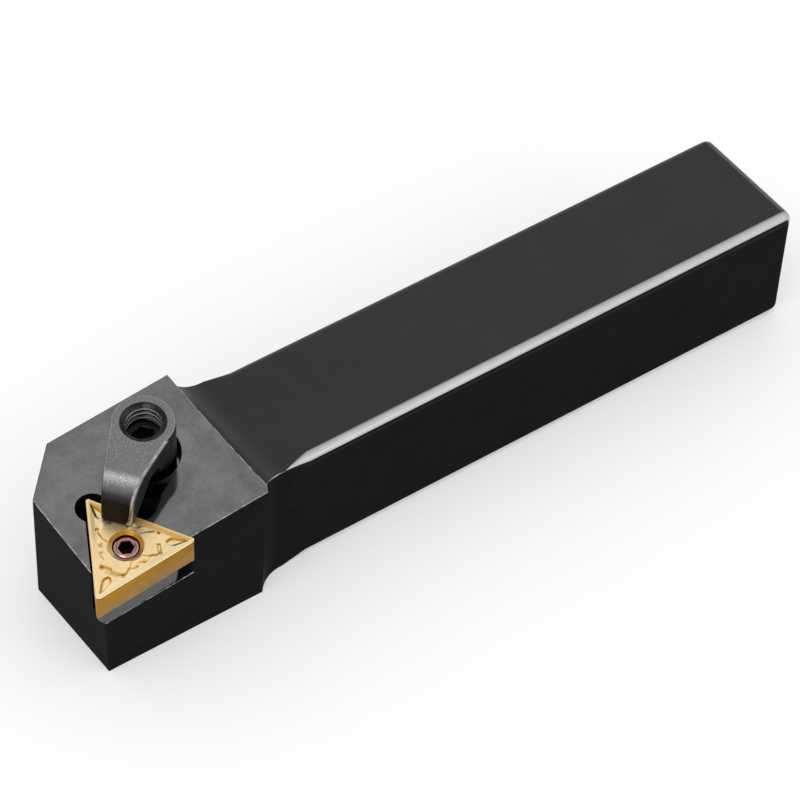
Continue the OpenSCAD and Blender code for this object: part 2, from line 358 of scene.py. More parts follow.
class Graph:
    """Writes nodes and links into one node tree."""

    def __init__(self, tree: bpy.types.NodeTree) -> None:
        """Takes a node tree and empties it."""
        self.tree = tree
        tree.nodes.clear()

    @classmethod
    def of(cls, block: bpy.types.Material | bpy.types.World) -> "Graph":
        """Starts on the nodes of a material or a world."""
        block.use_nodes = True
        return cls(block.node_tree)

    def add(self, kind: str, *inputs: object, **values: object) -> bpy.types.Node:
        """Adds a node. A value that is a socket is linked.

        Args:
            kind: Blender's name of the node's type.
            inputs: Values of the first inputs, in their order.
            values: Attributes of the node, or inputs where a name has a capital letter.
                An underscore stands for a space there.

        Returns:
            The new node.
        """
        node = self.tree.nodes.new(kind)
        for name, value in values.items():
            if name[0].islower():
                setattr(node, name, value)
        for socket, value in zip(node.inputs, inputs):
            self.feed(socket, value)
        for name, value in values.items():
            if not name[0].islower():
                self.feed(node.inputs[name.replace("_", " ")], value)
        return node

    def feed(self, socket: bpy.types.NodeSocket, value: object) -> None:
        """Links or sets an input. A colour may have three numbers."""
        if isinstance(value, bpy.types.NodeSocket):
            self.tree.links.new(value, socket)
        elif socket.type == "RGBA" and len(value) == 3:
            socket.default_value = (*value, 1.0)
        else:
            socket.default_value = value

    def mix(self, factor: object, a: object, b: object) -> bpy.types.NodeSocket:
        """Returns a mix of two colours. The factor is the share of the second."""
        node = self.add("ShaderNodeMix", factor, data_type="RGBA")
        self.feed(node.inputs[6], a)
        self.feed(node.inputs[7], b)
        return node.outputs[2]

    def sum(self, operation: str, a: object, b: object) -> bpy.types.NodeSocket:
        """Returns the result of a sum with two numbers, named as Blender names it."""
        return self.add("ShaderNodeMath", a, b, operation=operation).outputs[0]

    def blend(self, a: object, b: object, share: float) -> bpy.types.NodeSocket:
        """Returns a sum of two numbers, of which the second has a share of the whole."""
        first = self.sum("MULTIPLY", a, 1 - share)
        return self.sum("ADD", first, self.sum("MULTIPLY", b, share))

    def spread(self, value: object, low: float, high: float, to_low: float, to_high: float
               ) -> bpy.types.NodeSocket:
        """Returns a value mapped from one range to another, and kept inside it."""
        node = self.add("ShaderNodeMapRange", Value=value, From_Min=low, From_Max=high,
                        To_Min=to_low, To_Max=to_high)
        return node.outputs[0]

    def where(self) -> bpy.types.NodeSocket:
        """Returns the place on the object."""
        return self.add("ShaderNodeTexCoord").outputs["Object"]

    def noise(self, place: object, scale: object, detail: float) -> bpy.types.NodeSocket:
        """Returns noise at a place."""
        return self.add("ShaderNodeTexNoise", Vector=place, Scale=scale, Detail=detail).outputs[0]

    def relief(self, height: object, depth: object) -> bpy.types.NodeSocket:
        """Returns the normal of a relief."""
        return self.add("ShaderNodeBump", Height=height, Distance=depth, Strength=1.0).outputs[0]

    def group(self, tree: bpy.types.NodeTree, **values: object) -> bpy.types.NodeOutputs:
        """Adds a node group and returns its outputs."""
        return self.add("ShaderNodeGroup", node_tree=tree, **values).outputs


class Groups:
    """The node groups that the finishes share. Each is built once."""

    @staticmethod
    def _start(name: str, inputs: dict[str, float], outputs: Sequence[str]
               ) -> tuple[Graph, bpy.types.NodeOutputs, bpy.types.NodeInputs]:
        """Makes a group with named sockets.

        Args:
            name: Name of the group.
            inputs: Names and default values of the number inputs.
            outputs: Names of the outputs. Normal is a vector, the others are numbers.

        Returns:
            The graph, the sockets that the group is given and those that it puts out.
        """
        tree = bpy.data.node_groups.new(name, "ShaderNodeTree")
        for label, value in inputs.items():
            socket = tree.interface.new_socket(label, in_out="INPUT", socket_type="NodeSocketFloat")
            socket.default_value = value
        for label in outputs:
            kind = "NodeSocketVector" if label == "Normal" else "NodeSocketFloat"
            tree.interface.new_socket(label, in_out="OUTPUT", socket_type=kind)
        g = Graph(tree)
        return g, g.add("NodeGroupInput").outputs, g.add("NodeGroupOutput").inputs

    @staticmethod
    @cache
    def drift() -> bpy.types.NodeTree:
        """Builds slow uneven tone, as of oxide or coating. Tone runs from 0 to 1."""
        g, given, out = Groups._start("uneven tone", {"Scale": 120.0, "Contrast": 1.0}, ["Tone"])
        place = g.where()
        broad = g.noise(place, given["Scale"], 3.0)
        fine = g.noise(place, g.sum("MULTIPLY", given["Scale"], 5.3), 2.0)
        centred = g.sum("SUBTRACT", g.blend(broad, fine, 0.3), 0.5)
        tone = g.sum("ADD", g.sum("MULTIPLY", centred, given["Contrast"]), 0.5)
        g.feed(out["Tone"], g.add("ShaderNodeClamp", Value=tone).outputs[0])
        return g.tree

    @staticmethod
    @cache
    def grain() -> bpy.types.NodeTree:
        """Builds fine grain with a few specks, as of blasted or cast steel."""
        g, given, out = Groups._start(
            "fine grain", {"Scale": 4000.0, "Depth": 0.00002, "Share": 0.1}, ["Specks", "Normal"]
        )
        place = g.where()
        pits = g.add("ShaderNodeTexVoronoi", Vector=place, Scale=given["Scale"]).outputs
        height = g.sum("ADD", g.noise(place, given["Scale"], 2.0),
                       g.sum("MULTIPLY", pits["Distance"], 0.5))
        rare = g.add("ShaderNodeSeparateColor", Color=pits["Color"]).outputs[0]
        chosen = g.sum("LESS_THAN", rare, given["Share"])
        near = g.spread(pits["Distance"], 0.15, 0.45, 1.0, 0.0)
        g.feed(out["Specks"], g.sum("MULTIPLY", chosen, near))
        g.feed(out["Normal"], g.relief(height, given["Depth"]))
        return g.tree

    @staticmethod
    @cache
    def facing() -> bpy.types.NodeTree:
        """Builds a mask of how squarely the surface faces a direction or its opposite."""
        g, given, out = Groups._start("facing", {"X": 0.0, "Y": 0.0, "Z": 1.0}, ["Facing"])
        towards = g.add("ShaderNodeCombineXYZ", *given[:3]).outputs[0]
        normal = g.add("ShaderNodeTexCoord").outputs["Normal"]
        dot = g.add("ShaderNodeVectorMath", normal, towards, operation="DOT_PRODUCT")
        g.feed(out["Facing"], g.sum("ABSOLUTE", dot.outputs["Value"], 0.0))
        return g.tree

    @staticmethod
    @cache
    def marks() -> bpy.types.NodeTree:
        """Builds fine straight grinding marks along X. Lines run from 0 to 1."""
        g, given, out = Groups._start(
            "grinding marks", {"Scale": 60.0, "Stretch": 40.0, "Depth": 0.000004},
            ["Lines", "Normal"],
        )
        across = g.add("ShaderNodeCombineXYZ", 1.0, given["Stretch"], given["Stretch"])
        place = g.add("ShaderNodeVectorMath", g.where(), across.outputs[0], operation="MULTIPLY")
        lines = g.spread(g.noise(place.outputs[0], given["Scale"], 3.0), 0.3, 0.7, 0.0, 1.0)
        g.feed(out["Lines"], lines)
        g.feed(out["Normal"], g.relief(lines, given["Depth"]))
        return g.tree


class Relief(Enum):
    """Which of the shared groups shapes a finish's fine relief."""

    GRAIN = "grain"
    MARKS = "marks"


@dataclass(frozen=True)
class Finish:
    """A metal finish: two tones, a range of roughness and fine relief."""

    name: str
    dark: Colour
    light: Colour
    rough: Pair
    metallic: float = 1.0
    specular: float = 0.5
    relief: Relief = Relief.GRAIN
    drift_scale: float = 150.0
    contrast: float = 2.0
    scale: float = 5000.0
    depth: float = 0.000004
    specks: float = 0.0
    speck_colour: Colour = (0.5, 0.5, 0.5)

    def material(self) -> bpy.types.Material:
        """Builds the finish's material and returns it."""
        material = bpy.data.materials.new(self.name)
        g = Graph.of(material)
        tone = g.group(Groups.drift(), Scale=self.drift_scale, Contrast=self.contrast)["Tone"]
        if self.relief is Relief.MARKS:
            fine = g.group(Groups.marks(), Scale=self.scale, Depth=self.depth)
            tone = g.blend(tone, fine["Lines"], 0.4)
        else:
            fine = g.group(Groups.grain(), Scale=self.scale, Depth=self.depth, Share=self.specks)
        colour = g.mix(tone, self.dark, self.light)
        if self.specks:
            colour = g.mix(fine["Specks"], colour, self.speck_colour)
        shader = g.add("ShaderNodeBsdfPrincipled", Base_Color=colour,
                       Roughness=g.spread(tone, 0.0, 1.0, *self.rough), Metallic=self.metallic,
                       Specular_IOR_Level=self.specular, Normal=fine["Normal"])
        g.add("ShaderNodeOutputMaterial", Surface=shader.outputs[0])
        return material


@dataclass(frozen=True)
class PaintedLightFinish:
    """A metal finish with painted light and shade: its tone follows how squarely the surface faces
    one direction.
    """

    name: str
    towards: Point
    stops: tuple[tuple[float, Colour], ...]
    rough: Pair
    drift_scale: float = 260.0
    contrast: float = 2.0
    scale: float = 5000.0
    depth: float = 0.000004
    specks: float = 0.0
    speck_gain: float = 0.5

    def material(self) -> bpy.types.Material:
        """Builds the finish's material and returns it."""
        material = bpy.data.materials.new(self.name)
        g = Graph.of(material)
        drift = g.group(Groups.drift(), Scale=self.drift_scale, Contrast=self.contrast)["Tone"]
        x, y, z = self.towards
        # The ramp paints light and shade by how the surface faces.
        tones = g.add("ShaderNodeValToRGB", Fac=g.group(Groups.facing(), X=x, Y=y, Z=z)["Facing"])
        elements = tones.color_ramp.elements
        while len(elements) < len(self.stops):
            elements.new(0.5)
        for element, (place, colour) in zip(elements, self.stops):
            element.position = place
            element.color = (*colour, 1)
        fine = g.group(Groups.grain(), Scale=self.scale, Depth=self.depth, Share=self.specks)
        shade = g.sum("ADD", g.spread(drift, 0.0, 1.0, 0.84, 1.0),
                      g.sum("MULTIPLY", fine["Specks"], self.speck_gain))
        shaded = g.add("ShaderNodeVectorMath", tones.outputs[0], operation="SCALE", Scale=shade)
        shader = g.add("ShaderNodeBsdfPrincipled", Base_Color=shaded.outputs[0],
                       Roughness=g.spread(drift, 0.0, 1.0, *self.rough), Metallic=1.0,
                       Normal=fine["Normal"])
        g.add("ShaderNodeOutputMaterial", Surface=shader.outputs[0])
        return material


def grey(tone: float, blue: float = 0.0) -> Colour:
    """Returns a grey, a little bluer if asked."""
    return (tone, tone, tone + blue)


# Painted reflection: the head's top, of the same black oxide as the rest of the holder, is a light
# metallic grey as if it mirrored a bright softbox. Its specks are grain.
HEAD_TOP_REFLECTION = Finish("head_top_painted_reflection", grey(0.125, 0.001), grey(0.205, 0.002), (0.07, 0.13),
                drift_scale=260, contrast=2.6, scale=3600, depth=0.000001, specks=0.07,
                speck_colour=grey(0.115, 0.001))
# Painted light: the shank's upper faces are a lighter copy of the black oxide.
SATIN_TOP_LIGHT = Finish("satin_black_painted_light", grey(0.017, 0.0005), grey(0.026, 0.0005), (0.34, 0.44),
               metallic=0.0, specular=0.2, drift_scale=90, depth=0.000002)
BLACK = Finish("black_oxide", grey(0.0105, 0.0002), grey(0.016, 0.0002), (0.40, 0.50),
               metallic=0.0, specular=0.005, drift_scale=220, specks=0.012,
               speck_colour=grey(0.05))
# Wear and painted highlight: bare steel on the broken edges, given only to the edges that catch the
# light.
WEAR_AND_HIGHLIGHT = Finish("worn_edge_and_highlight", grey(0.08), grey(0.60), (0.22, 0.38), drift_scale=900, contrast=4.0)
# Painted light: the upper faces of the shank's rounded end are a lighter copy of the black oxide.
END_TOP_LIGHT = Finish("end_painted_light", grey(0.075, 0.001), grey(0.11, 0.001), (0.34, 0.44),
                drift_scale=300)
# Painted highlight: a light grey on the clamp's wide right chamfer.
CHAMFER_HIGHLIGHT = Finish("chamfer_painted_highlight", grey(0.17), grey(0.50), (0.24, 0.36), drift_scale=500,
                     contrast=3.2)
SHIM_GREY = Finish("ground_shim", grey(0.075, 0.002), grey(0.12, 0.004), (0.30, 0.40),
                   relief=Relief.MARKS, scale=50, depth=0.000003)
BRONZE = Finish("bronze_pin", (0.34, 0.16, 0.14), (0.56, 0.32, 0.29), (0.18, 0.28),
                drift_scale=400)
# Painted shade: dark inside the pin's hex socket.
SOCKET_SHADE = Finish("socket_painted_shade", (0.03, 0.018, 0.018), (0.06, 0.04, 0.04), (0.4, 0.55),
                drift_scale=300)
# Painted shade: the insert's flanks are a darker, browner copy of its gold coating.
GOLD_FLANK_SHADE = Finish("gold_flank_painted_shade", (0.30, 0.140, 0.006), (0.45, 0.22, 0.010), (0.34, 0.46),
                    drift_scale=160, contrast=3.0, depth=0.000003)
# Painted highlight: near white gold on the honed cutting edge.
GOLD_EDGE_HIGHLIGHT = Finish("honed_edge_painted_highlight", (0.95, 0.82, 0.55), (1.0, 0.94, 0.78), (0.25, 0.35),
                   drift_scale=300)
# Painted shade: near black inside the clamp's tapped hole.
THREAD_SHADE = Finish("thread_painted_shade", grey(0.008, 0.001), grey(0.04, 0.001), (0.16, 0.26),
                drift_scale=500, contrast=3.0)
# Painted highlight: light grey on the crests of the clamp's thread.
CREST_HIGHLIGHT = Finish("thread_crest_painted_highlight", grey(0.42), grey(0.82), (0.34, 0.46), metallic=0.0,
               drift_scale=700, contrast=2.6)
SCREW_BLACK = Finish("screw_black", grey(0.03, 0.001), grey(0.07, 0.002), (0.30, 0.42),
                     drift_scale=300)
SEAT_UP = (-0.10396, -0.10396, 0.98913)
SEAT_BACK = (0.1178, 0.1644, 0.9793)
# Gold coating with painted light and shade: faces turned towards SEAT_BACK are pale, slopes turned
# away are dark brown.
GOLD_LIGHT_AND_SHADE = PaintedLightFinish(
    "gold_coating_painted_light", SEAT_BACK,
    ((0.45, (0.26, 0.115, 0.015)), (0.78, (0.40, 0.19, 0.03)), (0.89, (0.70, 0.43, 0.14)),
     (0.93, (0.96, 0.71, 0.36)), (0.95, (0.97, 0.74, 0.40)), (1.0, (1.0, 0.90, 0.64))),
    (0.26, 0.36), depth=0.000003,
)
# Blasted black with painted light and shade: the clamp's knee is lightest, its top a mid grey, its
# nose slope and sides dark. Its specks are grain.
BLASTED_LIGHT_AND_SHADE = PaintedLightFinish(
    "blasted_black_painted_light", SEAT_UP,
    ((0.22, grey(0.013)), (0.50, grey(0.045)), (0.80, grey(0.20)), (0.93, grey(0.33)),
     (0.985, grey(0.20)), (1.0, grey(0.19))),
    (0.32, 0.44), scale=5200, depth=0.000030, specks=0.34, speck_gain=1.0,
)
# Painted highlight: a light band on the shank's near rounded edge, where its faces turn between up
# and the near side.
HIGHLIGHT_STRIP = PaintedLightFinish(
    "painted_highlight_strip", (0.0, -1.0, 0.0),
    ((0.04, grey(0.03)), (0.20, grey(0.36)), (0.42, grey(0.54)), (0.86, grey(0.56)),
     (0.90, grey(0.012))),
    (0.36, 0.46), scale=3000, depth=0.000002,
)


def dress(work: Work, finishes: Sequence[Finish | PaintedLightFinish]) -> None:
    """Gives a piece its finishes, one to each material slot, in order."""
    slots = work.obj.data.materials
    slots.clear()
    for finish in finishes:
        slots.append(bpy.data.materials.get(finish.name) or finish.material())


def settle(obj: bpy.types.Object, body: str, node: str) -> bpy.types.Object:
    """Ties a finished piece to the frame.

    Args:
        obj: The piece.
        body: The CAD body that it rides on.
        node: The CAD node that it stands for.

    Returns:
        The same piece.
    """
    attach(obj, body)
    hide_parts(node)
    LOG.info("%s: %d faces on body %s", obj.name, len(obj.data.polygons), body)
    return obj


# The pieces


def copy_of_node(node: str, name: str) -> Work:
    """Returns a clean closed copy of a CAD node under a new name, on the bench."""
    Work.clear()
    obj = bpy.data.objects.new(name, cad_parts[node].data.copy())
    for key in list(obj.keys()):
        del obj[key]
    bpy.context.scene.collection.objects.link(obj)
    work = Work(name, obj)
    with work.edit():
        bpy.ops.transform.resize(value=(1 / MM,) * 3, center_override=(0, 0, 0))
        bpy.ops.mesh.customdata_custom_splitnormals_clear()
        bpy.ops.mesh.remove_doubles(threshold=MERGE)
        bpy.ops.mesh.dissolve_limited(angle_limit=math.radians(0.2))
    return work


@dataclass
class Holder:
    """The one piece holder, with edges that show wear and a painted highlight, and painted light on
    its upper faces: shank, leaning head, pocket, recess and holes.
    """

    shank_w: float = 20.0
    shank_h: float = 20.0
    edge_r: float = 1.5
    edge_steps: int = 8
    runout_l: float = 4.4
    end_round: float = 1.3
    blend_x: float = -45.5
    rear_x: float = 45.5
    nose_x: float = -79.5
    blend_r: float = 6.0
    side_out: float = 2.4
    side_lean: float = 3.2
    front_back: float = 3.6
    front_lean: float = 5.0
    corner_back: float = 8.3
    head_drop: float = 0.6
    wall_gap: float = 0.2
    relief_r: float = 2.25
    relief_in: float = 1.55
    seat_depth: float = 8.96
    pin_hole: Pair = (2.5, 8.5)
    recess: Pair = (5.0, 3.1)
    screw_hole: Pair = (3.0, 17.6)
    drill_point: float = 118.0
    edge_break: float = 0.09
    edge_angle: float = 26.0

    def build(self) -> bpy.types.Object:
        """Builds and dresses the holder, and returns the finished piece."""
        work = self._head()
        shank = self._shank()
        for piece, side in ((work, 1), (shank, -1)):
            with piece.edit():
                piece.pick(Kind.FACE, lambda c, n: n.x * side > 0.99
                           and abs(c.x - self.blend_x) < 0.01)
                bpy.ops.mesh.delete(type="ONLY_FACE")
        work.join(shank)
        work.combine(self._pocket().move(PLACES.insert()))
        work.combine(self._clamp_hole().move(PLACES.clamp()))
        work.merge_flats(0.1)
        wear_and_highlight_slot = self._zones(work)
        work.modify(
            "BEVEL", width=self.edge_break, segments=2, limit_method="ANGLE",
            angle_limit=math.radians(self.edge_angle), material=wear_and_highlight_slot, use_clamp_overlap=False,
            miter_outer="MITER_SHARP",
        )
        # Bevel faces away from the edges that catch the light lose their wear and painted highlight
        # and go back to black oxide.
        for face in work.obj.data.polygons:
            if face.material_index == wear_and_highlight_slot and not self._has_wear_and_highlight(face.center):
                face.material_index = 0
        return settle(work.place(Matrix.Identity(4)), "holder", "holder")

    def _has_wear_and_highlight(self, c: Vector) -> bool:
        """Says whether an edge at a point shows wear and a painted highlight.

        Args:
            c: The point.

        Returns:
            Whether it lies on the outer edges of the head's top, on the edge that leads down
            from there to the shank, or on the near edge of the shim's seat.
        """
        lean, tilt = math.radians(self.front_lean), math.radians(self.side_lean)
        front = abs((c.x - self.nose_x - self.front_back) * math.cos(lean) + c.z * math.sin(lean))
        near = abs((c.y + self.shank_w / 2 + self.side_out) * math.cos(tilt)
                   + c.z * math.sin(tilt))
        on_top = abs((PLACES.seat().inverted() @ c).z + self.head_drop) < 0.15
        outer = near < 0.2 or front < 0.2 or (c.x > self.blend_x - 6.5 and c.y < 9.5)
        down = c.x > self.blend_x - 6 and c.z > self.shank_h - 0.1 and c.y < -self.shank_w / 2
        seat = abs((PLACES.insert().inverted() @ c).z + self.seat_depth) < 0.15 and near < 0.2
        return (on_top and outer) or down or seat

    def _head(self) -> Work:
        """Makes the head's block: its plan, its side, the two blends and the leaning faces."""
        front, near, far = self.nose_x - 1, -self.shank_w / 2, self.shank_w / 2
        cut = self.nose_x + self.corner_back
        low_y, high_z = near - self.blend_r, self.shank_h + self.blend_r
        plan = [
            (self.blend_x, far, 0), (cut, far, 0), (front, far - (cut - front), 0),
            (front, low_y, 0), *arc((self.blend_x, low_y), self.blend_r, 180, 90, 16),
        ]
        side = arc((self.blend_x, high_z), self.blend_r, 180, 270, 16)
        outline = [(front, 0.0, 0), (front, high_z, 0), *side, (self.blend_x, 0.0, 0)]
        head = Work.prism("holder_body", plan, (0, 0, high_z))
        profile = [(x, low_y - 1, z) for x, z, _ in outline]
        head.combine(Work.prism("side", profile, (0, far - low_y + 2, 0)), "INTERSECT")
        lean, tilt = math.radians(self.front_lean), math.radians(self.side_lean)
        head.trim((self.nose_x + self.front_back, 0, 0), (-math.cos(lean), 0, -math.sin(lean)))
        head.trim((0, near - self.side_out, 0), (0, -math.cos(tilt), -math.sin(tilt)))
        head.trim(PLACES.seat() @ Vector((0, 0, -self.head_drop)), PLACES.up())
        return head

    def _shank(self) -> Work:
        """Makes the shank: round long edges that run out to sharp, and a rounded end."""
        Work.clear()
        bpy.ops.mesh.primitive_cube_add(size=1)
        shank = Work("shank", bpy.context.object)
        middle = self.shank_h / 2
        shank.move(Matrix.Translation((0, 0, middle)))
        size = (self.rear_x - self.blend_x, self.shank_w, self.shank_h)
        front = self.blend_x + 0.01
        with shank.edit():
            bpy.ops.transform.resize(value=size, center_override=(0, 0, middle))
            bpy.ops.mesh.bisect(plane_co=(self.blend_x + self.runout_l, 0, 0),
                                plane_no=(1, 0, 0))
            shank.pick(Kind.EDGE, lambda c, d: abs(d.x) > FACING)
            bpy.ops.mesh.bevel(offset=self.edge_r, segments=self.edge_steps, profile=0.5)
            for y in (-1, 1):
                for z in (-1, 1):
                    shank.pick(Kind.VERT, lambda c, n: c.x < front and c.y * y > 0
                               and (c.z - middle) * z > 0)
                    bpy.ops.mesh.merge(type="CENTER")
            shank.pick(Kind.VERT, lambda c, n: c.x < front)
            reach = max(v.co.y for v in bmesh.from_edit_mesh(shank.obj.data).verts if v.select)
            grow = self.shank_w / 2 / reach
            bpy.ops.transform.resize(
                value=(1, grow, grow), center_override=(self.blend_x, 0, middle)
            )
        shank.bevel_rim(lambda c, n: n.x > FACING, self.end_round, 5)
        return shank

    def _pocket(self) -> Work:
        """Makes the cutter for the insert's pocket, its relief and the pin's hole."""
        wall, down = PLACES.insert_r + self.wall_gap, 16.0
        half = (wall + down / 2) / math.cos(math.radians(30))
        floor = -self.seat_depth
        outline = [(0, 2 * wall, floor), (-half, -down, floor), (half, -down, floor)]
        pocket = Work.prism("pocket", outline, (0, 0, self.seat_depth + 1))
        relief = Work.cylinder("relief", self.relief_r, floor, 1, 64)
        centre = (0, 2 * PLACES.insert_r - self.relief_in, 0)
        pocket.combine(relief.move(Matrix.Translation(centre)), "UNION")
        pocket.combine(self._drilled(*self.pin_hole, floor), "UNION")
        return pocket

    def _clamp_hole(self) -> Work:
        """Makes the cutter for the clamp's recess and the screw's hole."""
        r, depth = self.recess
        recess = Work.cylinder("recess", r, -depth, 1, 96)
        hole_r, hole_depth = self.screw_hole
        recess.combine(self._drilled(hole_r, hole_depth - depth, -depth), "UNION")
        return recess

    def _drilled(self, r: float, depth: float, top: float) -> Work:
        """Makes a cutter for a drilled hole with a pointed bottom.

        Args:
            r: Radius.
            depth: Depth of the round part.
            top: Height of the hole's mouth.

        Returns:
            The cutter, which reaches a little over the mouth.
        """
        hole = Work.cylinder("drilled", r, top - depth, top + 0.5, 48)
        point_l = r / math.tan(math.radians(self.drill_point / 2))
        with hole.edit():
            hole.pick(Kind.FACE, lambda c, n: n.z < -FACING)
            hole.extrude((0, 0, -point_l))
            bpy.ops.mesh.merge(type="CENTER")
        return hole

    def _zones(self, work: Work) -> int:
        """Gives the holder's faces their finishes, before its edges are broken. Faces that look up
        get lighter copies of the black oxide, as painted light.

        Args:
            work: The holder.

        Returns:
            The slot of the edges with wear and a painted highlight, which no face has yet.
        """
        up = PLACES.up()
        zones = {
            # Painted reflection on the head's top.
            HEAD_TOP_REFLECTION: lambda c, n: n.dot(up) > 0.9999 and c.z > self.shank_h + 0.4,
            # Painted light on the shank's upper faces.
            SATIN_TOP_LIGHT: lambda c, n: (n.z > 0.3 and n.dot(up) < 0.9999 and c.z > self.shank_h - 1
                                 and c.x > self.nose_x + 20),
            # Painted light on the upper faces of the rounded end.
            END_TOP_LIGHT: lambda c, n: c.x > self.rear_x - self.end_round and n.z > 0.2,
            # Painted highlight along the shank's near top edge.
            HIGHLIGHT_STRIP: lambda c, n: (c.x > self.blend_x - 0.1 and n.y < -0.05 and n.z > 0.05
                                      and n.x < 0.6),
        }
        dress(work, [BLACK, *zones, WEAR_AND_HIGHLIGHT])
        for slot, test in enumerate(zones.values(), 1):
            work.paint(slot, test)
        return len(zones) + 1


@dataclass
class Shim:
    """The hardened plate under the insert."""

    edge_break: float = 0.12
    edge_angle: float = 40.0

    def build(self) -> bpy.types.Object:
        """Builds and dresses the shim, and returns the finished piece."""
        work = copy_of_node("shim", "shim_plate")
        dress(work, [SHIM_GREY])
        work.modify("BEVEL", width=self.edge_break, segments=2, limit_method="ANGLE",
                    angle_limit=math.radians(self.edge_angle))
        return settle(work.place(Matrix.Identity(4)), "holder", "shim")


def hex_cutter(width: float, low: float, high: float) -> Work:
    """Makes the cutter for a hex socket of a width across its flats."""
    return Work.cylinder("socket", width / math.sqrt(3), low, high, 6)


@dataclass
class ShimPin:
    """The pin that holds the shim, with a round edged head and a hex socket."""

    head_r: float = 1.8
    top: float = -0.3
    edge_r: float = 0.4
    dip: float = 0.16
    cone_top: float = -4.86
    cone_r: float = 3.1
    thread_r: float = 2.45
    cone_end: float = -5.51
    end: float = -15.96
    hex_w: float = 2.05
    hex_depth: float = 2.2

    def build(self) -> bpy.types.Object:
        """Builds and dresses the pin, and returns the finished piece."""
        work = Work.cylinder("shim_pin_body", self.thread_r, self.end, self.cone_end, 72)
        round_off = 0.3 * self.edge_r
        steps = (
            (self.cone_r, self.cone_top),
            (self.head_r, self.cone_top),
            (self.head_r, self.top - self.edge_r),
            (self.head_r - round_off, self.top - round_off),
            (self.head_r - self.edge_r, self.top),
            (self.hex_w * 0.62, self.top - self.dip),
        )
        r, z = self.thread_r, self.cone_end
        with work.edit():
            work.pick(Kind.FACE, lambda c, n: n.z > FACING)
            for new_r, new_z in steps:
                work.extrude((0, 0, new_z - z))
                bpy.ops.transform.resize(value=(new_r / r, new_r / r, 1))
                r, z = new_r, new_z
        work.combine(hex_cutter(self.hex_w, self.top - self.hex_depth, self.top + 1))
        dress(work, [BRONZE, SOCKET_SHADE])
        # Painted shade: the faces deep in the hex socket get the dark finish.
        deep = self.top - self.dip - 0.05
        work.paint(1, lambda c, n: c.xy.length < self.hex_w * 0.6 and c.z < deep)
        return settle(work.place(PLACES.insert()), "holder", "shim_pin")


class Feature(Enum):
    """Moulded features of the insert's face, with their heights in millimetres."""

    DISH = -0.30
    GROOVE = -0.11
    RIB = -0.16
    SIDE_PAD = -0.06
    BAR = -0.13
    DOT = -0.14
    KNOB = 0.06


